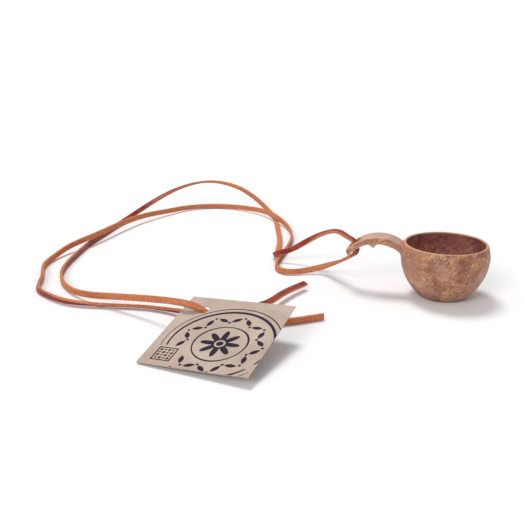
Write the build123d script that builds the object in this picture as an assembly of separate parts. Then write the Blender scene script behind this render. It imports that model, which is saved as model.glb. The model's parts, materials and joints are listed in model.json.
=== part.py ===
from build123d import *
import math
import os

# A small kuksa dram cup with its leather neck lace and its card swing tag, resting on a table.
# Millimetres. Origin at the centre of the cup's foot, +Z up, the handle pointing along -X.

# ---- cup: driving dimensions ----
RIM_HEIGHT = 35.0
RIM_RADIUS = 26.2
BELLY_RADIUS = 28.0
BELLY_HEIGHT = 26.0
SIDE_ROUND = 29.9
SIDE_MID_ANGLE = 32.0
FOOT_RADIUS = 14.6
FOOT_EDGE = 1.5
WALL = 1.9
FLOOR = 3.2
RIM_ROUND = 0.7

# ---- handle: an arched tongue with an eye near its tip ----
HANDLE_WIDTH = 13.0
ARCH_X = -41.5
ARCH_Z = 10.7
ARCH_TOP_RADIUS = 26.6
ARCH_UNDER_RADIUS = 22.4
UNDER_SHIFT = 1.2
HANDLE_TIP_ANGLE = 56.0
HANDLE_ROOT_TURN = 44.0
UNDER_ROOT_TURN = 62.0
TIP_CORNER = 5.0
HANDLE_EDGE = 0.8
BODY_CLEAR_Z = 24.0
SPUR_ANGLE = 7.5
SPUR_HALF_ANGLE = 8.5
SPUR_DEPTH = 3.0
SPUR_FLANK = 0.38
EYE_WIDTH = 7.4
EYE_LENGTH = 8.5
TIP_BAR = 3.2
EYE_CORNER = 2.2

# ---- tag: a square of card, leaning on the lace that passes through its hole ----
TAG_SIDE = 65.0
TAG_THICK = 0.5
TAG_HOLE_RADIUS = 3.5
TAG_HOLE_FROM_LEFT = 12.6
TAG_HOLE_FROM_TOP = 11.9
TAG_HOLE = (-131.1, -94.5, 12.8)
TAG_LEAN = 12.7
TAG_ROLL = -4.1
TAG_TURN = -9.7

# ---- lace: one flat leather strip, smooth on one face and suede on the other ----
LACE_WIDTH = 4.0
LACE_THICK = 2.0
LACE_STEP = 5.0
TABLE_CLEARANCE = 0.05
HINGE_GAP = 1.2
LIFT_GAP = 2.6

# The bend through the eye lies in one upright plane, turned away from the handle's line.
BEND_X = -60.8
BEND_Y = 2.7
BEND_Z = 27.0
BEND_RADIUS = 5.6
BEND_TURN = 142.0
UPPER_LEG_RISE = 20.0
LOWER_LEG_DROP = 33.0

# Places where the lace folds: at the end of the bend, where the two runs cross, and at the far crossing.
LIFT_X = -66.0
LIFT_Y = 6.8
LIFT_UPPER_Z = 34.0
LIFT_LOWER_Z = 16.0
KNOT_X = -117.5
KNOT_Y = 41.0
CROSSING_X = -270.3
CROSSING_Y = 43.0

# Each run is (x, y, z, roll) from the bend's leg to its cut end. Roll turns the smooth face from up
# (0 degrees) towards the left of the direction of travel. At height 0 the strip lies on the table.
UPPER_RUN = [
    (-63, 4.5, 32.6, 0),
    (LIFT_X, LIFT_Y, LIFT_UPPER_Z, 4),
    (-71, 12.6, 33.9, 14),
    (-76, 19.2, 31.9, 24),
    (-81.5, 26, 28.6, 36),
    (-94, 38.5, 19.5, 58),
    (-104, 41.5, 12.5, 74),
    (-111, 41.5, 8.8, 80),
    (KNOT_X, KNOT_Y, 7, 84),
    (-120.9, 42.3, 5, 106),
    (-122.1, 47.5, 2.8, 150),
    (-123, 57.5, 0, 178),
    (-129, 92, 0, 180),
    (-140, 131, 0, 180),
    (-148, 156, 0, 200),
    (-158, 174, 2.9, 232),
    (-174, 191, 9, 262),
    (-196, 201, 17, 300),
    (-223, 203, 20, 342),
    (-244, 180, 18, 358),
    (-256, 155, 13, 378),
    (-265, 133, 7, 404),
    (-271, 103, 2.6, 430),
    (-271, 75, 0, 446),
    (CROSSING_X, CROSSING_Y, 0, 450),
    (-267, 16, 0, 450),
    (-255, -31, 0, 450),
    (-230, -60, 3, 450),
    (-196, -74.5, 8, 450),
    (-162, -87.5, 14, 460),
    (-146, -94.5, 16.5, 485),
    (-137.5, -96, 16, 512),
    (*TAG_HOLE, 525),
    (-125.5, -92.3, 8.3, 515),
    (-112, -87, 4.6, 475),
    (-98, -80, 3.4, 455),
    (-84.5, -72.5, 0, 450),
    (-67.5, -61, 0, 450),
]
LOWER_RUN = [
    (-63.4, 4.7, 18.2, 180),
    (LIFT_X, LIFT_Y, LIFT_LOWER_Z, 183),
    (-70.5, 11.2, 12.6, 197),
    (-76.5, 17.5, 8.5, 214),
    (-83, 21, 5, 230),
    (-90.5, 19.5, 3, 240),
    (-98.5, 15.5, 0, 248),
    (-106.5, 13.5, 0, 257),
    (-113, 17.5, 0, 266),
    (-116.5, 26, 0, 270),
    (KNOT_X, KNOT_Y, 0, 270),
    (-118, 77, 0, 270),
    (-122, 105, 0, 270),
    (-129.5, 125, 2.6, 270),
    (-137, 137, 4, 270),
    (-145.5, 147.5, 5.1, 270),
    (-158.5, 163, 4.6, 270),
    (-180, 177.5, 3, 270),
    (-209, 181.5, 0, 270),
    (-232, 168.5, 2.6, 270),
    (-243, 150, 3.6, 270),
    (-256, 121, 5.6, 270),
    (-262, 97, 6.5, 270),
    (-266, 70, 6.8, 270),
    (CROSSING_X, CROSSING_Y, 6.8, 270),
    (-277, 23, 5, 270),
    (-279.5, 6.5, 2.8, 270),
    (-276, -18, 0, 278),
    (-266, -38, 0, 286),
    (-255, -61, 0, 282),
    (-243.5, -69, 0, 262),
    (-229, -75, 0, 236),
    (-199, -74, 0, 208),
    (-167, -72, 0, 212),
    (-152, -76, 3, 225),
    (-138, -78.5, 4.2, 240),
    (-124, -76, 5.4, 275),
    (-112, -68, 5.8, 310),
    (-104, -57.5, 5.5, 330),
    (-98.5, -39, 5, 340),
    (-88, -12, 4, 340),
]



def side_point(radius, angle):
    """A point of the round side, at an angle in degrees below the belly."""
    turn = math.radians(angle)
    return (
        BELLY_RADIUS - SIDE_ROUND + radius * math.cos(turn),
        BELLY_HEIGHT - radius * math.sin(turn),
    )


def shoulder_mid(radius):
    """The middle of the shoulder, which leans in from a belly of this radius up to the rim."""
    run = BELLY_RADIUS - RIM_RADIUS
    rise = RIM_HEIGHT - BELLY_HEIGHT
    curve = (run**2 + rise**2) / (2 * run)
    lean = curve - math.sqrt(curve**2 - (rise / 2) ** 2)
    return (radius - lean, BELLY_HEIGHT + rise / 2)


def solid_of_revolution(edges):
    """Turns a closed outline in the XZ plane around the Z axis."""
    return revolve(make_face(Plane.XZ * edges), Axis.Z)


def bowl_outside():
    foot = (FOOT_RADIUS, 0)
    belly = (BELLY_RADIUS, BELLY_HEIGHT)
    rim = (RIM_RADIUS, RIM_HEIGHT)
    outline = [
        Line((0, 0), foot),
        ThreePointArc(foot, side_point(SIDE_ROUND, SIDE_MID_ANGLE), belly),
        ThreePointArc(belly, shoulder_mid(BELLY_RADIUS), rim),
        Line(rim, (0, RIM_HEIGHT)),
        Line((0, RIM_HEIGHT), (0, 0)),
    ]
    return solid_of_revolution(Curve() + outline)


def bowl_hollow():
    """The drinking space, open above the rim."""
    inner_round = SIDE_ROUND - WALL
    floor_angle = math.degrees(math.asin((BELLY_HEIGHT - FLOOR) / inner_round))
    floor = side_point(inner_round, floor_angle)
    belly = (BELLY_RADIUS - WALL, BELLY_HEIGHT)
    rim = (RIM_RADIUS - WALL, RIM_HEIGHT)
    above = (RIM_RADIUS - WALL, 2 * RIM_HEIGHT)
    outline = [
        Line((0, FLOOR), floor),
        ThreePointArc(floor, side_point(inner_round, SIDE_MID_ANGLE), belly),
        ThreePointArc(belly, shoulder_mid(BELLY_RADIUS - WALL), rim),
        Line(rim, above),
        Line(above, (0, 2 * RIM_HEIGHT)),
        Line((0, 2 * RIM_HEIGHT), (0, FLOOR)),
    ]
    return solid_of_revolution(Curve() + outline)


def arch_point(radius, angle, shift=0.0):
    """A point of the handle's arch; the angle in degrees runs from straight up towards the tip."""
    turn = math.radians(angle)
    return (
        ARCH_X - shift - radius * math.sin(turn),
        ARCH_Z - shift / 2 + radius * math.cos(turn),
    )


def under(angle, drop=0.0):
    """A point of the handle's underside, which thins towards the tip."""
    return arch_point(ARCH_UNDER_RADIUS - drop, angle, UNDER_SHIFT)


def handle_side():
    """Side outline of the handle: arched top, arched underside with a small spur."""
    spur_start = SPUR_ANGLE + SPUR_HALF_ANGLE
    spur_end = SPUR_ANGLE - SPUR_HALF_ANGLE
    spur_tip = under(SPUR_ANGLE, SPUR_DEPTH)
    top_root = arch_point(ARCH_TOP_RADIUS, -HANDLE_ROOT_TURN)
    under_root = under(-UNDER_ROOT_TURN)
    inside_x = -BELLY_RADIUS / 2
    top_tip = arch_point(ARCH_TOP_RADIUS, HANDLE_TIP_ANGLE)
    flank_drop = SPUR_DEPTH * SPUR_FLANK
    edges = [
        ThreePointArc(top_root, arch_point(ARCH_TOP_RADIUS, 0), top_tip),
        Line(top_tip, under(HANDLE_TIP_ANGLE)),
        ThreePointArc(under(HANDLE_TIP_ANGLE), under(HANDLE_TIP_ANGLE / 2), under(spur_start)),
        ThreePointArc(
            under(spur_start),
            under(SPUR_ANGLE + SPUR_HALF_ANGLE / 2, flank_drop),
            spur_tip,
        ),
        ThreePointArc(
            spur_tip,
            under(SPUR_ANGLE - SPUR_HALF_ANGLE / 2, flank_drop),
            under(spur_end),
        ),
        ThreePointArc(under(spur_end), under(-UNDER_ROOT_TURN / 2), under_root),
        Line(under_root, (inside_x, under_root[1])),
        Line((inside_x, under_root[1]), (inside_x, top_root[1])),
        Line((inside_x, top_root[1]), top_root),
    ]
    return make_face(Plane.XZ * (Curve() + edges))


def handle():
    side = extrude(handle_side(), HANDLE_WIDTH / 2, both=True)
    tip_x = arch_point(ARCH_TOP_RADIUS, HANDLE_TIP_ANGLE)[0]
    length = -tip_x
    plan = Pos(tip_x + length / 2, 0) * Rectangle(length, HANDLE_WIDTH)
    tip_corners = plan.vertices().group_by(Axis.X)[0]
    plan = fillet(tip_corners, TIP_CORNER)
    blank = side & extrude(plan, 2 * RIM_HEIGHT)
    return blank


def eye_cutter():
    """The lace eye: a slot with round corners, square to the handle's skin near the tip."""
    mid_radius = (ARCH_TOP_RADIUS + ARCH_UNDER_RADIUS) / 2
    bar_turn = math.degrees((TIP_BAR + EYE_LENGTH / 2) / mid_radius)
    angle = HANDLE_TIP_ANGLE - bar_turn
    x, z = arch_point(mid_radius, angle)
    slot = fillet(Rectangle(EYE_LENGTH, EYE_WIDTH).vertices(), EYE_CORNER)
    return Pos(x, 0, z) * Rot(0, -angle, 0) * extrude(slot, 6, both=True)


def lies_at(edge, height):
    """True for an edge that runs level at the given height."""
    box = edge.bounding_box()
    return abs(box.min.Z - height) < 0.01 and abs(box.max.Z - height) < 0.01


def on_handle_top(edge):
    """True for the edges along the handle's upper skin, round its tip."""
    box = edge.bounding_box()
    crosses = abs(box.max.Y - box.min.Y - HANDLE_WIDTH) < 0.01
    upright = box.max.X - box.min.X < 0.01
    above_under = box.max.Z > ARCH_Z + ARCH_UNDER_RADIUS or box.max.X < ARCH_X - ARCH_UNDER_RADIUS / 2
    return above_under and box.min.Z > BODY_CLEAR_Z and not crosses and not upright


def cup():
    tongue = handle()
    tongue = fillet([e for e in tongue.edges() if on_handle_top(e)], HANDLE_EDGE)
    bowl = bowl_outside()
    bowl = fillet([e for e in bowl.edges() if lies_at(e, 0)], FOOT_EDGE)
    body = bowl + tongue - bowl_hollow() - eye_cutter()
    return fillet([e for e in body.edges() if lies_at(e, RIM_HEIGHT)], RIM_ROUND)


def laid(run):
    """The run with each waypoint high enough for the strip's lowest edge to clear the table."""
    lifted = []
    for x, y, z, roll in run:
        turn = math.radians(roll)
        reach = LACE_WIDTH / 2 * abs(math.sin(turn)) + LACE_THICK / 2 * abs(math.cos(turn))
        lifted.append((x, y, max(z, reach + TABLE_CLEARANCE), roll))
    return lifted


def natural_spline(points):
    """Smooth curve through the points, in any number of values, by length along the chords."""
    spans = [max(math.dist(a[:3], b[:3]), 0.001) for a, b in zip(points, points[1:])]
    stations = [0.0]
    for span in spans:
        stations.append(stations[-1] + span)
    count = len(points)
    bends = []
    for axis in range(len(points[0])):
        upper = [0.0] * count
        right = [0.0] * count
        for i in range(1, count - 1):
            before = spans[i - 1]
            after = spans[i]
            slope_after = (points[i + 1][axis] - points[i][axis]) / after
            slope_before = (points[i][axis] - points[i - 1][axis]) / before
            pivot = 2 * (before + after) - before * upper[i - 1]
            upper[i] = after / pivot
            right[i] = (6 * (slope_after - slope_before) - before * right[i - 1]) / pivot
        bend = [0.0] * count
        for i in range(count - 2, 0, -1):
            bend[i] = right[i] - upper[i] * bend[i + 1]
        bends.append(bend)

    def at(s):
        i = 0
        while i < count - 2 and s > stations[i + 1]:
            i += 1
        h = spans[i]
        b = (s - stations[i]) / h
        a = 1 - b
        values = []
        for axis, bend in enumerate(bends):
            straight = a * points[i][axis] + b * points[i + 1][axis]
            curl = ((a**3 - a) * bend[i] + (b**3 - b) * bend[i + 1]) * h * h / 6
            values.append(straight + curl)
        return values

    return at, stations


def lace_section(at, s):
    """The strip's rectangular cross-section at distance s, turned by its roll."""
    x, y, z, roll = at(s)
    ahead = Vector(*at(s + 0.2)[:3]) - Vector(*at(s - 0.2)[:3])
    ahead = ahead.normalized()
    left = Vector(0, 0, 1).cross(ahead).normalized()
    top = ahead.cross(left)
    turn = math.radians(roll)
    smooth = top * math.cos(turn) + left * math.sin(turn)
    across = smooth.cross(ahead)
    centre = Vector(x, y, z)
    half_width = across * (LACE_WIDTH / 2)
    half_thick = smooth * (LACE_THICK / 2)
    corners = [
        centre + half_width + half_thick,
        centre - half_width + half_thick,
        centre - half_width - half_thick,
        centre + half_width - half_thick,
    ]
    lowest = min(corner.Z for corner in corners)
    lift = Vector(0, 0, max(0, TABLE_CLEARANCE - lowest))
    return Wire.make_polygon([corner + lift for corner in corners], close=True)


def lace_piece(run, start, end):
    """One length of the strip, from one distance along its run to another."""
    at, _ = natural_spline(run)
    steps = max(2, round((end - start) / LACE_STEP))
    sections = [lace_section(at, start + (end - start) * k / steps) for k in range(steps + 1)]
    return Solid.make_loft(sections, ruled=True)


def station(run, x, y):
    """Distance along a run to the waypoint at x, y."""
    _, stations = natural_spline(run)
    index = min(range(len(run)), key=lambda i: math.dist(run[i][:2], (x, y)))
    return stations[index]


def eye_bend():
    """The lace's turn through the eye: a flat loop of strip with a rising and a falling leg."""
    reach = (BEND_X - LIFT_X) / math.cos(math.radians(180 - BEND_TURN))
    rise = math.radians(UPPER_LEG_RISE)
    drop = math.radians(LOWER_LEG_DROP)
    half = LACE_THICK / 2
    loops = []
    for radius in (BEND_RADIUS + half, BEND_RADIUS - half):
        top = (radius * math.sin(rise), radius * math.cos(rise))
        bottom = (-radius * math.sin(drop), -radius * math.cos(drop))
        top_run = reach - LIFT_GAP / 2 - top[0]
        low_run = reach - LIFT_GAP / 2 - bottom[0]
        top_end = (reach - LIFT_GAP / 2, top[1] + top_run * math.tan(rise))
        low_end = (reach - LIFT_GAP / 2, bottom[1] - low_run * math.tan(drop))
        loops.append((top_end, top, (-radius, 0), bottom, low_end))
    outer, inner = loops
    edges = [
        Line(outer[0], outer[1]),
        ThreePointArc(outer[1], outer[2], outer[3]),
        Line(outer[3], outer[4]),
        Line(outer[4], inner[4]),
        Line(inner[4], inner[3]),
        ThreePointArc(inner[3], inner[2], inner[1]),
        Line(inner[1], inner[0]),
        Line(inner[0], outer[0]),
    ]
    band = extrude(make_face(Plane.XZ * (Curve() + edges)), LACE_WIDTH / 2, both=True)
    return Pos(BEND_X, BEND_Y, BEND_Z) * Rot(0, 0, BEND_TURN) * band


def tag():
    """The card, with its hole near the upper left corner."""
    card = Pos(
        TAG_SIDE / 2 - TAG_HOLE_FROM_LEFT,
        TAG_HOLE_FROM_TOP - TAG_SIDE / 2,
    ) * Rectangle(TAG_SIDE, TAG_SIDE)
    card = card - Circle(TAG_HOLE_RADIUS)
    sheet = extrude(card, TAG_THICK / 2, both=True)
    return Pos(*TAG_HOLE) * Rot(0, 0, TAG_TURN) * Rot(TAG_LEAN, 0, 0) * Rot(0, TAG_ROLL, 0) * sheet


def lace_pieces():
    """The strip cut where it folds: the small loop, the far half and the near half of the neck loop."""
    pieces = {}
    for name, run in (("upper", laid(UPPER_RUN)), ("lower", laid(LOWER_RUN))):
        _, stations = natural_spline(run)
        lift = station(run, LIFT_X, LIFT_Y)
        knot = station(run, KNOT_X, KNOT_Y)
        crossing = station(run, CROSSING_X, CROSSING_Y)
        half_gap = HINGE_GAP / 2
        pieces[f"lace_loop_{name}"] = lace_piece(run, lift + LIFT_GAP / 2, knot - half_gap)
        pieces[f"lace_far_{name}"] = lace_piece(run, knot + half_gap, crossing - half_gap)
        pieces[f"lace_near_{name}"] = lace_piece(run, crossing + half_gap, stations[-1])
    return pieces


parts = {"cup": cup(), "lace_eye_bend": eye_bend(), "tag": tag()}
parts.update(lace_pieces())
os.makedirs("parts", exist_ok=True)
for node, shape in parts.items():
    export_step(shape, f"parts/{node}.step")
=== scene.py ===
import json
import math

import bmesh
import bpy
import numpy as np
from mathutils import Matrix, Vector, geometry, noise


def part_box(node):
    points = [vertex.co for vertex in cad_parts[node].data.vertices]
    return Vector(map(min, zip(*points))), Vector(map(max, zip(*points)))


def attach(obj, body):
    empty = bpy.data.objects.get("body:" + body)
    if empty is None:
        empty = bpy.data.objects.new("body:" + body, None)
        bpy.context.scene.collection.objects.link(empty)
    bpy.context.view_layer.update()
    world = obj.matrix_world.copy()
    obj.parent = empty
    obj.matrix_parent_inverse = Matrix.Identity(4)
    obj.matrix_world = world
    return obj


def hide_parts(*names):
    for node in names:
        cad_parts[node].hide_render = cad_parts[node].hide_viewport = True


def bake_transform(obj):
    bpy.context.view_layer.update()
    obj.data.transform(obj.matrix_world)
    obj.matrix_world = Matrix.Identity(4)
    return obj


# A small moulded wood-fibre cup with its leather neck lace and card swing tag.
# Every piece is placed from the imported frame: metres, the cup's foot at the origin, +Z up.

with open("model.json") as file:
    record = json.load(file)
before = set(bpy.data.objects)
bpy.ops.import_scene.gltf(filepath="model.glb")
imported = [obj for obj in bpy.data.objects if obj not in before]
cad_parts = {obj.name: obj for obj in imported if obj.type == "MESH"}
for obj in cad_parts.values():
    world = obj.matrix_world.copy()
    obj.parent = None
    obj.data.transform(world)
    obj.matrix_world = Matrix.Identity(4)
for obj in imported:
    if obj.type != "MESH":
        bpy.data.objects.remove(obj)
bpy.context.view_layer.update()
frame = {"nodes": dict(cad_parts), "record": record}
MM = 0.001
WELD_GAP = 0.0001 * MM  # corners of a CAD mesh closer than this are one corner

# ---- the lace's strip, as a cross-section swept along the CAD lace ----
STRIP_WIDTH = 4 * MM
STRIP_THICK = 2 * MM
STRIP_STEP = 0.7 * MM  # between sections, along the strip
STRIP_CORNER = 0.3 * MM
STRIP_CROWN = 0.10 * MM  # how far each side swells in its middle
FACE_POINTS = 7
EDGE_POINTS = 4
CORNER_POINTS = 2
STRIP_ROUGH = 0.05 * MM
SMOOTH_FACE_ROUGH = 0.3  # of STRIP_ROUGH
FINE_ROUGH_SCALE = 900
SLOW_ROUGH_SCALE = 90
ROUGH_SEED = 7  # without a seed the noise follows the clock, and differs from run to run
SHARP_TURN = 0.95  # radians; the CAD strip's four long edges turn by more than this
LOWER_BEND_RUN = 26 * MM  # length of each bending stretch
UPPER_BEND_RUN = 7 * MM
INSIDE_EYE_RUN = 2.5 * MM
FOLD_RUN = 9 * MM
EASE_REACH = 12 * MM  # how far from the eye the strip's centre line is smoothed
EASE_ROUNDS = 30

# ---- the cup's moulded skin ----
RIM_HEIGHT = 35 * MM
HOLLOW_INSET = 1.2 * MM  # a little less than the wall, to tell inside from outside
HOLLOW_LEAN = 0.2  # outward part of the normal; the hollow's skin has less than this
FOOT_BAND = 1.5 * MM  # the skin this near the table belongs to the foot
LIP_BAND = 0.9 * MM  # the skin this near the rim's height belongs to the lip
CUP_VOXEL = 0.45 * MM
SOFTENING = 0.5  # share of the way to the neighbours' mean in each round
CUP_SOFTEN = 5
ROOT_SOFTEN = 45
ROOT_REACH = 9 * MM
ROOT_HEIGHT = 0.8 * RIM_HEIGHT
ROOT_INSET = 1.0 * MM  # how far into the bowl's wall the easing of the root reaches
ROOT_FULL = 3  # the easing is full within the inner two thirds of ROOT_REACH
EDGE_BLUR = 12  # rounds of softening that the skin is compared with, to find its edges
EDGE_FULL = 0.22 * MM  # how far an edge stands proud of it where its painted highlight is full
FLAT_UP = 0.65  # upward part of the normal where the handle's painted top light is full
TOP_LIGHT_FADE = 0.3

# ---- the card tag, and its print in millimetres across the card's face ----
CARD_CURL = 0.6  # twice the lift at the middle of a side
CARD_GRID = 2.5
JOIN_GAP = 0.0001  # outline corners closer than this are one corner
HOLE_RADIUS = 3.5
HOLE_POINTS = 48
PRINT_CENTRE = Vector((4.8, -8.1))
ARC_STEPS = 90
ARC_TAPER = 0.25  # share of the ring's width to each side at an end; twice this in the middle
ARC_SPANS = ((-28, 193), (-126, -38))  # degrees; the two rings leave the patch's corner free
OUTER_RING = (32.9, 0.8)  # radius, width
HEAVY_RING = (29.5, 1.9)
INNER_RING = (15.3, 1.0)
RING_POINTS = 96
INNER_RING_SWELL = 0.2
INNER_RING_WAVES = 3
STAR_POINTS = 8
STAR_TIP = 11.6
STAR_VALLEY = 4.4
STAR_SHARPNESS = 1.6
PETAL_STEPS = 24
STAR_EYE = (2.6, 1.1)
LEAVES = 18
WREATH_RADIUS = 22.2
LEAF_LENGTH = 7.0
LEAF_WIDTH = 2.9
LEAF_TILT = 52
LEAF_STEPS = 8
BERRY_RADIUS = 0.85
BERRY_POINTS = 12
BERRY_OFFSET = 2.6
PATCH_CENTRE = Vector((-20.9, -22.5))
PATCH_SIDE = 11.6
PATCH_LINE = 0.8
PATCH_MARGIN = 1.1
PATCH_CLEAR = 0.9 * PATCH_SIDE
PATCH_ROWS = 4
DIAMOND_REACHES = (0.34, 0.48)  # of the pitch, in turn
SQUARE = ((-1, -1), (1, -1), (1, 1), (-1, 1))
DIAMOND = ((1, 0), (0, 1), (-1, 0), (0, -1))

# ---- the stage ----
FLOOR_HALF = 4
FLOOR_DROP = 0.2 * MM
SKY_LIGHT = 0.50
OVERHEAD_TRAVEL = Vector((0.26, -0.32, -0.9))
OVERHEAD_LIGHT = 1.75
OVERHEAD_SPREAD = 20
FRONT_TRAVEL = Vector((0.30, 0.77, -0.56))
FRONT_LIGHT = 1.1
FRONT_SPREAD = 24
CAMERA_PLACE = Vector((-0.0012, -0.4763, 0.1745))
CAMERA_FORWARD = Vector((-0.230, 0.921, -0.314))
CAMERA_RIGHT = Vector((0.970, 0.242, 0))
CAMERA_LENS = 52.1
CAMERA_SENSOR = 36


# ---------------------------------------------------------------- materials


class Nodes:
    """A material's node tree, with a short call for each kind of node used here."""

    def __init__(self, name):
        self.material = bpy.data.materials.new(name)
        self.material.use_nodes = True
        self.tree = self.material.node_tree
        self.tree.nodes.clear()
        self.place = self.add("TexCoord").outputs["Object"]

    def add(self, kind, inputs=None, **settings):
        node = self.tree.nodes.new("ShaderNode" + kind)
        for name, value in settings.items():
            setattr(node, name, value)
        for name, value in (inputs or {}).items():
            if isinstance(value, bpy.types.NodeSocket):
                self.tree.links.new(value, node.inputs[name])
            else:
                node.inputs[name].default_value = value
        return node

    def noise(self, place, scale, detail=4.0, rough=0.55, warp=0.0):
        """Soft marks, about `scale` of them to the metre: 1000 makes them a millimetre across."""
        inputs = {"Vector": place, "Scale": scale, "Detail": detail, "Roughness": rough, "Distortion": warp}
        return self.add("TexNoise", inputs).outputs["Fac"]

    def stretch(self, place, turn, scale):
        """The place turned by the angles in degrees and then scaled, for marks with a direction."""
        rotation = [math.radians(angle) for angle in turn]
        turned = self.add("Mapping", {"Vector": place, "Rotation": rotation})
        return self.add("Mapping", {"Vector": turned.outputs["Vector"], "Scale": scale}).outputs["Vector"]

    def warped(self, place, scale, amount):
        """The place pushed about by a slow noise, which makes straight marks swirl."""
        push = self.add("TexNoise", {"Vector": place, "Scale": scale, "Detail": 2.0}).outputs["Color"]
        centred = self.add("VectorMath", {0: push, 1: (0.5, 0.5, 0.5)}, operation="SUBTRACT").outputs[0]
        scaled = self.add("VectorMath", {0: centred, "Scale": amount}, operation="SCALE").outputs[0]
        return self.add("VectorMath", {0: place, 1: scaled}, operation="ADD").outputs[0]

    def step(self, value, low, high):
        """0 below low, 1 above high, smooth between."""
        inputs = {"Value": value, "From Min": low, "From Max": high}
        return self.add("MapRange", inputs, interpolation_type="SMOOTHSTEP").outputs["Result"]

    def math(self, operation, a, b=0.0):
        return self.add("Math", {0: a, 1: b}, operation=operation).outputs["Value"]

    def mix(self, factor, a, b, blend="MIX"):
        """Colour a turning into colour b as the factor goes from 0 to 1."""
        node = self.add("Mix", data_type="RGBA", blend_type=blend)
        for socket, value in zip((0, 6, 7), (factor, a, b)):
            if isinstance(value, bpy.types.NodeSocket):
                self.tree.links.new(value, node.inputs[socket])
            else:
                node.inputs[socket].default_value = value
        return node.outputs[2]

    def tint(self, base, tint, amount, mask):
        """The base moved towards a tint by the amount wherever the mask is 1."""
        return self.mix(self.math("MULTIPLY", mask, amount), base, tint)

    def attribute(self, name):
        return self.add("Attribute", attribute_name=name).outputs["Fac"]

    def bump(self, height, strength, distance, normal=None):
        inputs = {"Height": height, "Strength": strength, "Distance": distance}
        if normal is not None:
            inputs["Normal"] = normal
        return self.add("Bump", inputs).outputs["Normal"]

    def mix_normals(self, factor, a, b):
        node = self.add("Mix", data_type="VECTOR")
        for socket, value in zip((0, 4, 5), (factor, a, b)):
            self.tree.links.new(value, node.inputs[socket])
        return node.outputs[1]

    def finish(self, base, roughness, normal, extra):
        inputs = {"Base Color": base, "Roughness": roughness, "Normal": normal, **extra}
        surface = self.add("BsdfPrincipled", inputs)
        output = self.add("OutputMaterial")
        self.tree.links.new(surface.outputs["BSDF"], output.inputs["Surface"])
        return self.material


def colour(red, green, blue):
    """A 0 to 255 screen colour as the linear colour that a shader takes."""

    def linear(value):
        value = value / 255
        return value / 12.92 if value <= 0.04045 else ((value + 0.055) / 1.055) ** 2.4

    return (linear(red), linear(green), linear(blue), 1.0)


# The cup's moulded fibre
FIBRE_BROWN = colour(132, 76, 52)
FIBRE_TAN = colour(170, 115, 86)
FIBRE_HAZE = colour(186, 144, 130)
GRAIN_DARK = colour(88, 46, 30)
GRAIN_PALE = colour(206, 162, 134)
FLECK_GROUND = colour(186, 126, 76)
FLECK_GOLD = colour(230, 176, 104)
LONG_FIBRE = colour(222, 184, 166)
SPECK_PALE = colour(232, 196, 170)
SPECK_DARK = colour(78, 40, 30)
# painted shade inside the bowl: this tint is multiplied in there before the mix towards BOWL_SHADE
BOWL_SHADE_TINT = colour(248, 232, 255)
BOWL_SHADE = colour(118, 66, 66)
# painted light: the handle's upward faces are painted paler, as if lit from above
HANDLE_TOP_LIGHT = colour(218, 184, 168)
# painted highlight along the raised edges and the rim
EDGE_HIGHLIGHT = colour(208, 160, 128)

# The lace's suede side and its dyed smooth face
SUEDE_DARK = colour(166, 84, 50)
SUEDE_PALE = colour(216, 132, 86)
SUEDE_BLOTCH = colour(178, 92, 56)
NAP_PALE = colour(240, 184, 140)
NAP_DARK = colour(120, 54, 32)
NAP_SHEEN = colour(250, 190, 150)
DYE_DARK = colour(128, 42, 30)
DYE_RED = colour(166, 60, 42)
DYE_SPECK = colour(104, 32, 28)
DYE_CREASE = colour(196, 100, 82)

# The card, its print and the floor
CARD_PALE = colour(194, 175, 161)
CARD_DEEP = colour(168, 148, 134)
CARD_SHRED = colour(150, 122, 100)
INK_PALE = colour(42, 28, 48)
INK_DEEP = colour(30, 18, 36)
INK_FIBRE = colour(150, 126, 122)
FLOOR_DEEP = colour(237, 237, 238)
FLOOR_PALE = colour(239, 239, 240)


def fibre_flecks(n, base, swirl):
    """Golden flecks gathered in patches, and long pale fibres, laid over the base."""
    patches = n.step(n.noise(swirl, 110.0, 3.0, 0.6), 0.52, 0.62)
    base = n.tint(base, FLECK_GROUND, 0.15, patches)
    short_streaks = n.stretch(swirl, (20, -50, 15), (1.0, 1.0, 0.35))
    fibres = n.noise(short_streaks, 950.0, 5.0, 0.75, 0.5)
    flecks = n.math("MULTIPLY", n.step(fibres, 0.50, 0.58), patches)
    base = n.tint(base, FLECK_GOLD, 0.85, flecks)
    threads = n.stretch(swirl, (10, -50, -20), (1, 1, 0.16))
    pale_fibres = n.step(n.noise(threads, 800.0, 5.0, 0.7, 0.4), 0.53, 0.61)
    places = n.step(n.noise(swirl, 60.0, 3.0), 0.46, 0.60)
    return n.tint(base, LONG_FIBRE, 0.6, n.math("MULTIPLY", pale_fibres, places))


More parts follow.
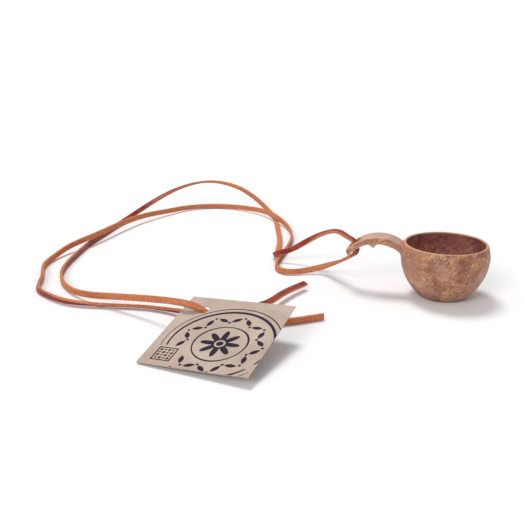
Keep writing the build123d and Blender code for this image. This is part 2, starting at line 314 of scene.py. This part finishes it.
def wood_fibre():
    """Moulded wood fibre: brown with soft pink-grey clouds, golden fleck swirls and fine speckle.

    It has painted shade inside the bowl, painted light on the handle's upward faces and a painted highlight
    along the raised edges and rim."""
    n = Nodes("wood_fibre")
    swirl = n.warped(n.place, 38.0, 0.014)
    streaks = n.stretch(swirl, (20, -50, 15), (1.0, 1.0, 0.22))
    cloud = n.noise(swirl, 75.0, 4.0, 0.6)
    grain = n.noise(streaks, 1300.0, 5.0, 0.7)
    base = n.mix(n.step(cloud, 0.36, 0.64), FIBRE_BROWN, FIBRE_TAN)
    haze = n.noise(n.stretch(swirl, (0, 0, 40), (1, 1, 2)), 60.0, 4.0, 0.6)
    base = n.tint(base, FIBRE_HAZE, 0.6, n.step(haze, 0.50, 0.68))
    base = n.tint(base, GRAIN_DARK, 0.6, n.step(grain, 0.46, 0.32))
    base = n.tint(base, GRAIN_PALE, 0.6, n.step(grain, 0.52, 0.66))
    base = fibre_flecks(n, base, swirl)
    speck = n.noise(n.place, 1900.0, 3.0, 0.7)
    base = n.tint(base, SPECK_PALE, 0.5, n.step(speck, 0.56, 0.68))
    base = n.tint(base, SPECK_DARK, 0.5, n.step(speck, 0.42, 0.30))
    # Painted shade: inside the bowl the colour is tinted and darkened towards BOWL_SHADE.
    shaded = n.mix(1.0, base, BOWL_SHADE_TINT, "MULTIPLY")
    dark = n.mix(0.3, shaded, BOWL_SHADE)
    base = n.mix(n.attribute("inside"), base, dark)
    # Painted light: the handle's upward faces are painted paler, as if lit from above.
    base = n.tint(base, HANDLE_TOP_LIGHT, 0.42, n.attribute("painted_top_light"))
    # Painted highlight: the raised edges and the rim are painted paler, unevenly by the clouds.
    edge_highlight = n.math("ADD", n.attribute("edge"), n.math("MULTIPLY", cloud, 0.5))
    base = n.tint(base, EDGE_HIGHLIGHT, 0.55, n.step(edge_highlight, 0.65, 1.1))
    roughness = n.math("ADD", n.math("MULTIPLY", grain, 0.25), 0.34)
    skin = n.bump(n.noise(n.place, 1500.0, 4.0, 0.6), 0.3, 0.06 * MM)
    skin = n.bump(grain, 0.4, 0.10 * MM, skin)
    return n.finish(base, roughness, skin, {"Specular IOR Level": 0.45})


def suede_side(n, fibres, blotch, fine):
    """Colour of the rough side and the cut edges."""
    suede = n.mix(n.step(fibres, 0.34, 0.64), SUEDE_DARK, SUEDE_PALE)
    suede = n.tint(suede, SUEDE_BLOTCH, 0.30, n.step(blotch, 0.40, 0.70))
    suede = n.tint(suede, NAP_PALE, 0.8, n.step(fine, 0.52, 0.64))
    return n.tint(suede, NAP_DARK, 0.75, n.step(fine, 0.48, 0.36))


def smooth_side(n, crease, blotch, fine):
    """Colour of the dyed smooth face."""
    smooth = n.mix(n.step(blotch, 0.35, 0.70), DYE_DARK, DYE_RED)
    smooth = n.tint(smooth, DYE_SPECK, 0.4, n.step(fine, 0.46, 0.30))
    return n.tint(smooth, DYE_CREASE, 0.22, n.step(crease, 0.60, 0.75))


def lace_leather():
    """One leather: the smooth face red-brown with a soft shine, the cut edges and back orange suede."""
    n = Nodes("lace_leather")
    along = n.add("UVMap", uv_map="strip").outputs["UV"]
    fibres = n.noise(n.stretch(along, (0, 0, 0), (0.5, 1, 1)), 1500.0, 5.0, 0.75)
    crease = n.noise(n.stretch(along, (0, 0, 90), (0.3, 1, 1)), 240.0, 3.0, 0.6, 0.5)
    blotch = n.noise(n.place, 120.0, 3.0)
    fine = n.noise(n.place, 1350.0, 6.0, 0.85)
    pores = n.add("TexVoronoi", {"Vector": n.place, "Scale": 2200.0}).outputs["Distance"]
    frayed = n.math("ADD", n.attribute("grain_side"), n.math("MULTIPLY", fine, 0.3))
    grain_side = n.step(frayed, 0.55, 0.75)
    suede = suede_side(n, fibres, blotch, fine)
    base = n.mix(grain_side, suede, smooth_side(n, crease, blotch, fine))
    roughness = n.math("SUBTRACT", 0.92, n.math("MULTIPLY", grain_side, 0.44))
    nap = n.bump(fibres, 0.6, 0.20 * MM)
    nap = n.bump(fine, 0.5, 0.12 * MM, nap)
    grain = n.bump(pores, 0.25, 0.06 * MM)
    grain = n.bump(crease, 0.2, 0.08 * MM, grain)
    extra = {
        "Specular IOR Level": 0.35,
        "Sheen Weight": n.math("MULTIPLY", n.math("SUBTRACT", 1.0, grain_side), 0.25),
        "Sheen Roughness": 0.5,
        "Sheen Tint": NAP_SHEEN,
    }
    return n.finish(base, roughness, n.mix_normals(grain_side, nap, grain), extra)


def card_fibre(n, pale, deep):
    """Uncoated card between two tones, and the fine fibres that its bumps follow."""
    fine = n.noise(n.place, 1400.0, 5.0, 0.7)
    slow = n.noise(n.place, 60.0, 3.0)
    tone = n.math("ADD", n.math("MULTIPLY", fine, 0.6), n.math("MULTIPLY", slow, 0.4))
    return n.mix(n.step(tone, 0.34, 0.66), deep, pale), fine


def kraft_card():
    """Plain recycled card, with a few darker shreds."""
    n = Nodes("kraft_card")
    base, fine = card_fibre(n, CARD_PALE, CARD_DEEP)
    shreds = n.noise(n.stretch(n.place, (0, 0, 35), (1, 0.2, 1)), 1700.0, 3.0, 0.6, 0.8)
    base = n.tint(base, CARD_SHRED, 0.45, n.step(shreds, 0.66, 0.74))
    skin = n.bump(fine, 0.35, 0.05 * MM)
    return n.finish(base, 0.85, skin, {"Specular IOR Level": 0.25})


def print_ink():
    """The dark print, sunk into the card: slightly uneven where the card's fibres show through."""
    n = Nodes("print_ink")
    base, fine = card_fibre(n, INK_PALE, INK_DEEP)
    base = n.tint(base, INK_FIBRE, 0.25, n.step(fine, 0.62, 0.78))
    skin = n.bump(fine, 0.30, 0.04 * MM)
    return n.finish(base, 0.75, skin, {"Specular IOR Level": 0.2})


def pale_floor():
    n = Nodes("pale_floor")
    drift = n.noise(n.place, 3.0, 2.0)
    base = n.mix(drift, FLOOR_DEEP, FLOOR_PALE)
    skin = n.bump(n.noise(n.place, 900.0, 2.0), 0.02, 0.05 * MM)
    return n.finish(base, 0.9, skin, {"Specular IOR Level": 0.05})


# ---------------------------------------------------------------- mesh helpers


def mesh_object(name, verts, faces, materials, face_materials=None, smooth=True):
    mesh = bpy.data.meshes.new(name)
    mesh.from_pydata([tuple(v) for v in verts], [], faces)
    for material in materials:
        mesh.materials.append(material)
    if face_materials is not None:
        mesh.polygons.foreach_set("material_index", face_materials)
    mesh.polygons.foreach_set("use_smooth", [smooth] * len(mesh.polygons))
    mesh.update()
    piece = bpy.data.objects.new(name, mesh)
    bpy.context.collection.objects.link(piece)
    return piece


def add_attribute(mesh, name, values):
    layer = mesh.attributes.new(name, "FLOAT", "POINT")
    layer.data.foreach_set("value", [float(v) for v in values])


def positions(mesh):
    flat = np.zeros(len(mesh.vertices) * 3)
    mesh.vertices.foreach_get("co", flat)
    return flat.reshape(-1, 3)


def edge_ends(mesh):
    """The two vertex numbers of every edge."""
    ends = np.zeros(len(mesh.edges) * 2, int)
    mesh.edges.foreach_get("vertices", ends)
    return ends.reshape(-1, 2)


def welded(node):
    """The CAD node's mesh as an editable copy, its doubled corners joined."""
    bm = bmesh.new()
    bm.from_mesh(frame["nodes"][node].data)
    bmesh.ops.remove_doubles(bm, verts=bm.verts, dist=WELD_GAP)
    bm.normal_update()
    return bm


def neighbour_mean(points, edges, degree):
    total = np.zeros_like(points)
    np.add.at(total, edges[:, 0], points[edges[:, 1]])
    np.add.at(total, edges[:, 1], points[edges[:, 0]])
    return total / degree[:, None]


def softened(points, edges, rounds, weight):
    """The points eased towards their neighbours, each by its own weight."""
    degree = np.bincount(edges.ravel(), minlength=len(points)).astype(float)
    for _ in range(rounds):
        points = points + weight[:, None] * (neighbour_mean(points, edges, degree) - points)
    return points


# ---------------------------------------------------------------- the cup


def remeshed(node, voxel):
    """The CAD node's shape as an even, fine skin."""
    bm = welded(node)
    mesh = bpy.data.meshes.new(node + "_skin")
    bm.to_mesh(mesh)
    bm.free()
    source = bpy.data.objects.new(node + "_skin", mesh)
    bpy.context.collection.objects.link(source)
    modifier = source.modifiers.new("remesh", "REMESH")
    modifier.mode = "VOXEL"
    modifier.voxel_size = voxel
    graph = bpy.context.evaluated_depsgraph_get()
    skin = bpy.data.meshes.new_from_object(source.evaluated_get(graph))
    bpy.data.objects.remove(source)
    return skin


def eased_cup(mesh, bowl_radius):
    """Softens the cup's skin all over, and its handle root much more, as it comes out of a mould."""
    points = positions(mesh)
    edges = edge_ends(mesh)
    everywhere = np.full(len(points), SOFTENING)
    points = softened(points, edges, CUP_SOFTEN, everywhere)
    root = np.array([-bowl_radius, 0.0, ROOT_HEIGHT])
    near_root = np.clip(1 - np.linalg.norm((points - root) / ROOT_REACH, axis=1), 0, 1)
    outside = np.linalg.norm(points[:, :2], axis=1) > bowl_radius - ROOT_INSET
    root_weight = SOFTENING * np.clip(near_root * ROOT_FULL, 0, 1) * outside
    points = softened(points, edges, ROOT_SOFTEN, root_weight)
    points[:, 2] = np.maximum(points[:, 2], 0)
    mesh.vertices.foreach_set("co", points.ravel())
    mesh.update()


def mark_cup(mesh, bowl_radius):
    """Attributes for the material: where to paint a highlight on raised edges, where to paint light on the
    handle's upward faces, and where to paint shade inside the bowl.
    """
    points = positions(mesh)
    normals = np.zeros(len(points) * 3)
    mesh.vertices.foreach_get("normal", normals)
    normals = normals.reshape(-1, 3)
    # where raised edges get a painted highlight: how far the skin stands proud of a softened copy
    blurred = softened(points, edge_ends(mesh), EDGE_BLUR, np.full(len(points), SOFTENING))
    bulge = np.einsum("ij,ij->i", points - blurred, normals)
    add_attribute(mesh, "edge", np.clip(bulge / EDGE_FULL, 0, 1))
    # where the handle's upward faces get painted light
    faces_up = np.clip(1 - (FLAT_UP - normals[:, 2]) / TOP_LIGHT_FADE, 0, 1)
    add_attribute(mesh, "painted_top_light", faces_up * (points[:, 0] < -bowl_radius))
    radius = np.linalg.norm(points[:, :2], axis=1)
    outward = np.einsum("ij,ij->i", points[:, :2], normals[:, :2]) / np.maximum(radius, MM)
    # the inside of the bowl, where the material paints shade
    hollow = (outward < HOLLOW_LEAN) & (radius < bowl_radius - HOLLOW_INSET)
    hollow &= (points[:, 2] > FOOT_BAND) & (points[:, 2] < RIM_HEIGHT - LIP_BAND)
    add_attribute(mesh, "inside", hollow)


def cup_piece():
    """The cup with its handle, as one moulding."""
    _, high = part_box("cup")
    mesh = remeshed("cup", CUP_VOXEL)
    eased_cup(mesh, high.x)
    mark_cup(mesh, high.x)
    mesh.materials.clear()
    mesh.materials.append(wood_fibre())
    mesh.polygons.foreach_set("use_smooth", [True] * len(mesh.polygons))
    piece = bpy.data.objects.new("cup_moulded", mesh)
    bpy.context.collection.objects.link(piece)
    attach(piece, "cup")
    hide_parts("cup")


# ---------------------------------------------------------------- the lace


def long_edges(node):
    """The four long edges of a CAD lace piece, as lists of corners that start at the same end."""
    bm = welded(node)
    sharp = [e for e in bm.edges if e.calc_face_angle() > SHARP_TURN]
    joined = {}
    for edge in sharp:
        for vert in edge.verts:
            joined.setdefault(vert, []).append(edge)
    ends = [v for v, edges in joined.items() if len(edges) == 3]
    first = min(ends, key=lambda v: v.index)
    end_cap = sorted(ends, key=lambda v: (v.co - first.co).length)[:4]
    chains = []
    for start in end_cap:
        away = [e for e in joined[start] if e.other_vert(start) not in end_cap]
        chain = [start]
        edge = away[0]
        while True:
            vert = edge.other_vert(chain[-1])
            chain.append(vert)
            if vert in ends:
                break
            edge = next(e for e in joined[vert] if e is not edge)
        chains.append([v.co.copy() for v in chain])
    bm.free()
    return chains


def nearest_on(chain, point):
    """The place on a chain of corners that is nearest to the point."""
    best = None
    for a, b in zip(chain, chain[1:]):
        spot, share = geometry.intersect_point_line(point, a, b)
        spot = a.lerp(b, min(max(share, 0), 1))
        if best is None or (spot - point).length < (best - point).length:
            best = spot
    return best


def sections_of(node, start):
    """A CAD lace piece as (centre, corners) sections, the end nearest to start first."""
    chains = long_edges(node)
    if len({len(chain) for chain in chains}) == 1:
        rows = list(zip(*chains))
    else:
        longest = max(chains, key=len)
        rows = [tuple(nearest_on(chain, point) for chain in chains) for point in longest[1:-1]]
    sections = [(sum(row, Vector()) / 4, row) for row in rows]
    if (sections[-1][0] - start).length < (sections[0][0] - start).length:
        sections.reverse()
    return sections


def strand():
    """The whole strip from the upper cut end, through the eye, to the lower cut end.

    Each station is (centre, direction across the strip, direction out of its smooth face, CAD node)."""
    upper = ("lace_loop_upper", "lace_far_upper", "lace_near_upper")
    lower = ("lace_loop_lower", "lace_far_lower", "lace_near_lower")
    eye_low, eye_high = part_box("lace_eye_bend")
    top_start = Vector((eye_low.x, eye_high.y, eye_high.z))
    bottom_start = Vector((eye_low.x, eye_high.y, eye_low.z))
    stations = []
    for names, start in ((upper, top_start), (lower, bottom_start)):
        run = []
        for name in names:
            piece = sections_of(name, start)
            start = piece[-1][0]
            run += [(centre, row, name) for centre, row in piece]
        if names is upper:
            run.reverse()
            bend = sections_of("lace_eye_bend", run[-1][0])
            run += [(centre, row, "lace_eye_bend") for centre, row in bend]
        stations += run
    return with_directions(stations)


def with_directions(stations):
    """Adds the across and smooth directions, carried from one section to the next without a jump.

    They start where the small loop's upper run leaves the eye: smooth face up, across to the back."""
    middle = max(i for i, (_, _, name) in enumerate(stations) if name == "lace_loop_upper")

    def sides(row):
        ordered = sorted(row[1:], key=lambda p: (p - row[0]).length)
        thin = (ordered[0] - row[0]).normalized()
        wide = (ordered[1] - row[0]).normalized()
        return thin, wide

    done = {}
    thin, wide = sides(stations[middle][1])
    smooth = thin if thin.z > 0 else -thin
    across = wide if wide.y > 0 else -wide
    for order in (range(middle, len(stations)), range(middle, -1, -1)):
        last_smooth = smooth
        last_across = across
        for i in order:
            thin, wide = sides(stations[i][1])
            last_smooth = thin if thin.dot(last_smooth) > 0 else -thin
            last_across = wide if wide.dot(last_across) > 0 else -wide
            done[i] = (stations[i][0], last_across, last_smooth, stations[i][2])
    return [done[i] for i in range(len(stations))]


def resampled(stations, step):
    """The strand at even short steps along a smooth curve through its stations."""
    fine = []
    travelled = 0.0
    count = len(stations)
    for i in range(count - 1):
        before = stations[max(i - 1, 0)]
        here = stations[i]
        after = stations[i + 1]
        beyond = stations[min(i + 2, count - 1)]
        span = (after[0] - here[0]).length
        pieces = max(1, round(span / step))
        lead = (after[0] - before[0]) * (span / max((after[0] - before[0]).length, MM / 10))
        trail = (beyond[0] - here[0]) * (span / max((beyond[0] - here[0]).length, MM / 10))
        for k in range(pieces):
            t = k / pieces
            a = 2 * t**3 - 3 * t**2 + 1
            b = t**3 - 2 * t**2 + t
            c = -2 * t**3 + 3 * t**2
            d = t**3 - t**2
            centre = a * here[0] + b * lead + c * after[0] + d * trail
            across = here[1].lerp(after[1], t)
            smooth = here[2].lerp(after[2], t)
            fine.append((centre, across, smooth, here[3], travelled + span * t))
        travelled += span
    last = stations[-1]
    fine.append((last[0], last[1], last[2], last[3], travelled))
    return square_to_travel(eased(fine))


def eased(fine):
    """The strand with its corners softened where the loop leaves the eye, and unchanged elsewhere."""
    folds = [
        fine[i][4]
        for i in range(1, len(fine))
        if (fine[i][3] == "lace_eye_bend") != (fine[i - 1][3] == "lace_eye_bend")
    ]
    weights = [max(0, 1 - min(abs(row[4] - at) for at in folds) / EASE_REACH) for row in fine]
    centres = [row[0] for row in fine]
    for _ in range(EASE_ROUNDS):
        centres = [
            centre.lerp((centres[max(i - 1, 0)] + centres[min(i + 1, len(fine) - 1)]) / 2, weights[i])
            for i, centre in enumerate(centres)
        ]
    return [(centre, *row[1:]) for centre, row in zip(centres, fine)]


def square_to_travel(fine):
    """The stations with their directions made square to the direction of travel."""
    squared = []
    for i, (centre, across, smooth, name, distance) in enumerate(fine):
        ahead = fine[min(i + 1, len(fine) - 1)][0] - fine[max(i - 1, 0)][0]
        ahead.normalize()
        face = (smooth - ahead * smooth.dot(ahead)).normalized()
        side = ahead.cross(face)
        if side.dot(across) < 0:
            side.negate()
        squared.append((centre, side, face, name, distance))
    return squared


def strip_profile():
    """Outline of the strip's section, as (point, on the smooth face or not).

    A point is its distance across the strip and its distance out of the smooth face."""
    corner = STRIP_CORNER
    half_width = STRIP_WIDTH / 2
    half_thick = STRIP_THICK / 2
    outline = []
    for quarter in range(4):
        flat_along = quarter % 2 == 0
        points = FACE_POINTS if flat_along else EDGE_POINTS
        reach = (half_width if flat_along else half_thick) - corner
        turn = Matrix.Rotation(-quarter * math.pi / 2, 2)
        outward = half_thick if flat_along else half_width
        for k in range(points):
            share = -1 + 2 * k / (points - 1)
            crown = STRIP_CROWN * (1 - share**2)
            spot = turn @ Vector((reach * share, outward - STRIP_CROWN + crown))
            outline.append((spot, quarter == 0))
        centre = Vector((reach, outward - STRIP_CROWN - corner))
        for k in range(1, CORNER_POINTS + 1):
            angle = math.pi / 2 * (1 - k / (CORNER_POINTS + 1))
            offset = Vector((math.cos(angle), math.sin(angle))) * corner
            outline.append((turn @ (centre + offset), False))
    return outline


def swept(name, stations, profile, material):
    """A closed length of the strip, with its distance along and round the section as UV."""
    verts = []
    grain = []
    around = len(profile)
    for centre, side, face, _, distance in stations:
        for spot, on_face in profile:
            point = centre + side * spot.x + face * spot.y
            rough = SMOOTH_FACE_ROUGH if on_face else 1.0
            shift = noise.noise_vector(point * FINE_ROUGH_SCALE) * STRIP_ROUGH * rough
            slow = noise.noise_vector(point * SLOW_ROUGH_SCALE) * STRIP_ROUGH
            verts.append(point + shift + slow)
            grain.append(1.0 if on_face else 0.0)
    faces = []
    rows = len(stations)
    for i in range(rows - 1):
        for k in range(around):
            a = i * around + k
            b = i * around + (k + 1) % around
            faces.append((a, b, b + around, a + around))
    faces.append(tuple(reversed(range(around))))
    faces.append(tuple(range((rows - 1) * around, rows * around)))
    piece = mesh_object(name, verts, faces, [material])
    mesh = piece.data
    add_attribute(mesh, "grain_side", grain)
    layer = mesh.uv_layers.new(name="strip")
    for polygon in mesh.polygons:
        for loop in polygon.loop_indices:
            row, k = divmod(mesh.loops[loop].vertex_index, around)
            layer.data[loop].uv = (stations[row][4], profile[k][0].x + profile[k][0].y)
    sharpen_caps(mesh)
    return piece


def sharpen_caps(mesh):
    """Turns every face outward, and keeps the two end caps from shading into the sides."""
    bm = bmesh.new()
    bm.from_mesh(mesh)
    bmesh.ops.recalc_face_normals(bm, faces=bm.faces)
    for cap in bm.faces:
        if len(cap.verts) > 4:
            cap.smooth = False
            for edge in cap.edges:
                edge.smooth = False
    bm.to_mesh(mesh)
    bm.free()


def folds_of(stations):
    """Every bending stretch: its first and last station and the two bodies that it joins."""
    bodies = {}
    for body, nodes in frame["record"]["behaviour"]["bodies"].items():
        bodies.update({node: body for node in nodes})
    folds = []
    for before, here in zip(stations, stations[1:]):
        body_a = bodies[before[3]]
        body_b = bodies[here[3]]
        if body_a == body_b:
            continue
        back = ahead = FOLD_RUN / 2
        if "eye_bend" in (body_a, body_b):
            run = LOWER_BEND_RUN if here[3].endswith("lower") else UPPER_BEND_RUN
            back, ahead = (run, INSIDE_EYE_RUN) if body_b == "eye_bend" else (INSIDE_EYE_RUN, run)
        first = max(k for k, row in enumerate(stations) if row[4] <= here[4] - back)
        last = min(k for k, row in enumerate(stations) if row[4] >= here[4] + ahead)
        folds.append((first, last, body_a, body_b))
    return folds


def lace_pieces():
    """The strip in lengths that each ride on one body, and a free length where two bodies meet."""
    noise.seed_set(ROUGH_SEED)
    material = lace_leather()
    profile = strip_profile()
    stations = resampled(strand(), STRIP_STEP)
    letters = iter("abcdefghijklmnop")

    def rigid(part, body):
        piece = swept(f"lace_{next(letters)}_{body}", part, profile, material)
        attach(piece, body)

    previous = 0
    for first, last, body_a, body_b in folds_of(stations):
        rigid(stations[previous:first + 1], body_a)
        fold = swept(f"lace_{next(letters)}_fold", stations[first:last + 1], profile, material)
        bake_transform(fold)
        previous = last
    rigid(stations[previous:], body_b)
    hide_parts(*[node for node in frame["nodes"] if node.startswith("lace_")])


# ---------------------------------------------------------------- the card tag


def ray(angle):
    return Vector((math.cos(angle), math.sin(angle)))


def round_loop(centre, radius, points=RING_POINTS, swell=0.0):
    """A circle, its radius swelling and shrinking a little as it goes round."""
    angles = [2 * math.pi * k / points for k in range(points)]
    return [centre + ray(angle) * (radius + swell * math.sin(INNER_RING_WAVES * angle)) for angle in angles]


def ring(radius, width, swell=0.0):
    outer = round_loop(PRINT_CENTRE, radius + width / 2, swell=swell)
    return [outer, round_loop(PRINT_CENTRE, radius - width / 2)]


def arc_band(radius, width, start, end):
    """A band along part of a ring, wider in its middle than at its ends."""
    outer = []
    inner = []
    for k in range(ARC_STEPS + 1):
        share = k / ARC_STEPS
        half = width * (ARC_TAPER + ARC_TAPER * math.sin(math.pi * share))
        outward = ray(math.radians(start + (end - start) * share))
        outer.append(PRINT_CENTRE + outward * (radius + half))
        inner.append(PRINT_CENTRE + outward * (radius - half))
    return outer + inner[::-1]


def star_loop():
    """A many-petalled star, from the cosine of a multiple of the angle."""
    loop = []
    steps = PETAL_STEPS * STAR_POINTS
    for k in range(steps):
        angle = 2 * math.pi * k / steps
        petal = abs(math.cos(STAR_POINTS * angle / 2)) ** STAR_SHARPNESS
        loop.append(PRINT_CENTRE + ray(angle) * (STAR_VALLEY + (STAR_TIP - STAR_VALLEY) * petal))
    return loop


def leaf_loop(centre, turn):
    """A pointed leaf: two bowed sides."""
    along = ray(turn)
    aside = Vector((-along.y, along.x))
    side = [k / LEAF_STEPS for k in range(LEAF_STEPS + 1)]
    right = [(t - 0.5, 0.5 * math.sin(math.pi * t)) for t in side]
    left = [(t - 0.5, -0.5 * math.sin(math.pi * t)) for t in reversed(side[1:-1])]
    return [centre + along * LEAF_LENGTH * a + aside * LEAF_WIDTH * b for a, b in right + left]


def wreath():
    """Leaves and berries round the star, set in turn to either side, with none on the patch."""
    loops = []
    for k in range(LEAVES):
        side = 1 if k % 2 else -1
        angle = 2 * math.pi * (k + 0.5) / LEAVES
        middle = PRINT_CENTRE + ray(angle) * WREATH_RADIUS
        if (middle - PATCH_CENTRE).length < PATCH_CLEAR:
            continue
        loops.append(leaf_loop(middle, angle + side * math.radians(LEAF_TILT)))
        between = angle + math.pi / LEAVES
        berry = PRINT_CENTRE + ray(between) * (WREATH_RADIUS + side * BERRY_OFFSET)
        if (berry - PATCH_CENTRE).length > PATCH_CLEAR:
            loops.append(round_loop(berry, BERRY_RADIUS, BERRY_POINTS))
    return loops


def patch():
    """A framed square of small diamonds."""
    half = PATCH_SIDE / 2
    loops = [[PATCH_CENTRE + Vector(p) * size for p in SQUARE] for size in (half, half - PATCH_LINE)]
    pitch = (PATCH_SIDE - 2 * PATCH_MARGIN) / PATCH_ROWS
    for row in range(PATCH_ROWS):
        for column in range(PATCH_ROWS):
            offset = Vector((column, row)) - Vector((1, 1)) * (PATCH_ROWS - 1) / 2
            reach = pitch * DIAMOND_REACHES[(row + column) % 2]
            loops.append([PATCH_CENTRE + offset * pitch + Vector(p) * reach for p in DIAMOND])
    return loops


def print_loops():
    """Every outline of the print; a place inside an odd number of them is inked."""
    loops = [arc_band(*size, *span) for size in (OUTER_RING, HEAVY_RING) for span in ARC_SPANS]
    loops += ring(*INNER_RING, INNER_RING_SWELL)
    loops.append(star_loop())
    loops += ring(*STAR_EYE)
    return loops + wreath() + patch()


def inside(loop, points):
    """Which of the points lie inside the closed loop."""
    result = np.zeros(len(points), bool)
    x = points[:, 0]
    y = points[:, 1]
    for a, b in zip(loop, loop[1:] + loop[:1]):
        if a.y == b.y:
            continue
        crosses = (a.y > y) != (b.y > y)
        result ^= crosses & (x < (b.x - a.x) * (y - a.y) / (b.y - a.y) + a.x)
    return result


def card_frame():
    """The CAD card's centre, its across, up and face directions, its side, hole and thickness."""
    bm = welded("tag")
    joints = frame["record"]["behaviour"]["joints"]
    hole = Vector(next(j["pos_m"] for j in joints if j["name"] == "tag_flip"))
    corners = sorted((v.co.copy() for v in bm.verts), key=lambda p: (p - hole).length)[-8:]
    bm.free()
    middles = [(corners[i] + corners[i + 1]) / 2 for i in range(0, 8, 2)]
    thick = (corners[1] - corners[0]).length
    near, right, below, _ = middles
    across = (right - near).normalized()
    up = (near - below).normalized()
    face = across.cross(up)
    return (right + below) / 2, across, up, face, (right - near).length, hole, thick


def triangulated(loops, side, hole):
    """The card's face as triangles that follow every outline, with a grid between for the bend."""
    half = side / 2
    border = [Vector(p) * half for p in SQUARE]
    opening = round_loop(hole, HOLE_RADIUS, HOLE_POINTS)
    points = []
    edges = []
    for loop in loops + [border, opening]:
        first = len(points)
        points += loop
        edges += [(first + k, first + (k + 1) % len(loop)) for k in range(len(loop))]
    count = round(side / CARD_GRID)
    for i in range(1, count):
        points += [Vector((i, j)) * side / count - Vector((half, half)) for j in range(1, count)]
    found = geometry.delaunay_2d_cdt(points, edges, [], 0, JOIN_GAP)
    verts = found[0]
    triangles = found[2]
    flat = np.array([tuple(v) for v in verts])
    middles = np.array([flat[list(t)].mean(axis=0) for t in triangles])
    kept = inside(border, middles) & ~inside(opening, middles)
    inked = np.zeros(len(triangles), bool)
    for loop in loops:
        inked ^= inside(loop, middles)
    faces = [(tuple(t), bool(ink)) for t, keep, ink in zip(triangles, kept, inked) if keep]
    used = sorted({i for t, _ in faces for i in t})
    place = {old: new for new, old in enumerate(used)}
    return [verts[i] for i in used], [(tuple(place[i] for i in t), ink) for t, ink in faces]


def tag_piece():
    """The card: one closed sheet, a little curled, whose face carries the print."""
    centre, across, up, face, side, hole_place, thick = card_frame()
    hole = Vector(((hole_place - centre).dot(across), (hole_place - centre).dot(up))) / MM
    flat, triangles = triangulated(print_loops(), side / MM, hole)
    verts = []
    for height in (thick / 2, -thick / 2):
        for spot in flat:
            lift = CARD_CURL * MM * (spot.length / (side / MM / 2)) ** 2 / 2
            verts.append(centre + (across * spot.x + up * spot.y) * MM + face * (height + lift))
    count = len(flat)
    faces = [t for t, _ in triangles]
    materials = [1 if ink else 0 for _, ink in triangles]
    faces += [tuple(i + count for i in reversed(t)) for t, _ in triangles]
    sides = dict.fromkeys(pair for t, _ in triangles for pair in zip(t, t[1:] + t[:1]))
    rims = [(a, b) for a, b in sides if (b, a) not in sides]
    faces += [(b, a, a + count, b + count) for a, b in rims]
    materials += [0] * (len(faces) - len(materials))
    piece = mesh_object("tag_card", verts, faces, [kraft_card(), print_ink()], materials, smooth=False)
    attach(piece, "tag")
    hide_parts("tag")


# ---------------------------------------------------------------- the stage


def stage():
    """The pale floor, the two lights and a room that looks white but lights softly."""
    corners = [(x * FLOOR_HALF, y * FLOOR_HALF, 0) for x, y in SQUARE]
    floor = mesh_object("floor", corners, [(0, 1, 2, 3)], [pale_floor()], smooth=False)
    floor.location.z = -FLOOR_DROP
    overhead = distant_light("overhead", OVERHEAD_TRAVEL, OVERHEAD_LIGHT, OVERHEAD_SPREAD)
    front = distant_light("front", FRONT_TRAVEL, FRONT_LIGHT, FRONT_SPREAD)
    front.data.cycles.cast_shadow = False
    world = bpy.data.worlds.new("white_room")
    world.use_nodes = True
    world.node_tree.nodes["Background"].inputs["Color"].default_value = (1, 1, 1, 1)
    tree = world.node_tree
    seen = tree.nodes.new("ShaderNodeLightPath").outputs["Is Camera Ray"]
    strength = tree.nodes.new("ShaderNodeMapRange")
    strength.inputs["To Min"].default_value = SKY_LIGHT
    strength.inputs["To Max"].default_value = 1.0
    tree.links.new(seen, strength.inputs["Value"])
    tree.links.new(strength.outputs["Result"], tree.nodes["Background"].inputs["Strength"])
    bpy.context.scene.world = world
    bpy.context.scene.view_settings.view_transform = "Standard"


def distant_light(name, direction, power, spread):
    """Even light that travels in one direction; the spread, in degrees, softens its shadows."""
    data = bpy.data.lights.new(name, "SUN")
    data.energy = power
    data.angle = math.radians(spread)
    light = bpy.data.objects.new(name, data)
    light.rotation_euler = direction.to_track_quat("-Z", "Y").to_euler()
    bpy.context.collection.objects.link(light)
    return light


def camera():
    """The viewpoint: in front of the cup, turned a little to the left and looking down by 18 degrees."""
    data = bpy.data.cameras.new("camera")
    data.lens = CAMERA_LENS
    data.sensor_width = CAMERA_SENSOR
    view = bpy.data.objects.new("camera", data)
    forward = CAMERA_FORWARD.normalized()
    right = CAMERA_RIGHT.normalized()
    turn = Matrix((right, right.cross(forward), -forward)).transposed()
    view.matrix_world = Matrix.Translation(CAMERA_PLACE) @ turn.to_4x4()
    bpy.context.collection.objects.link(view)
    bpy.context.scene.camera = view


cup_piece()
lace_pieces()
tag_piece()
stage()
camera()
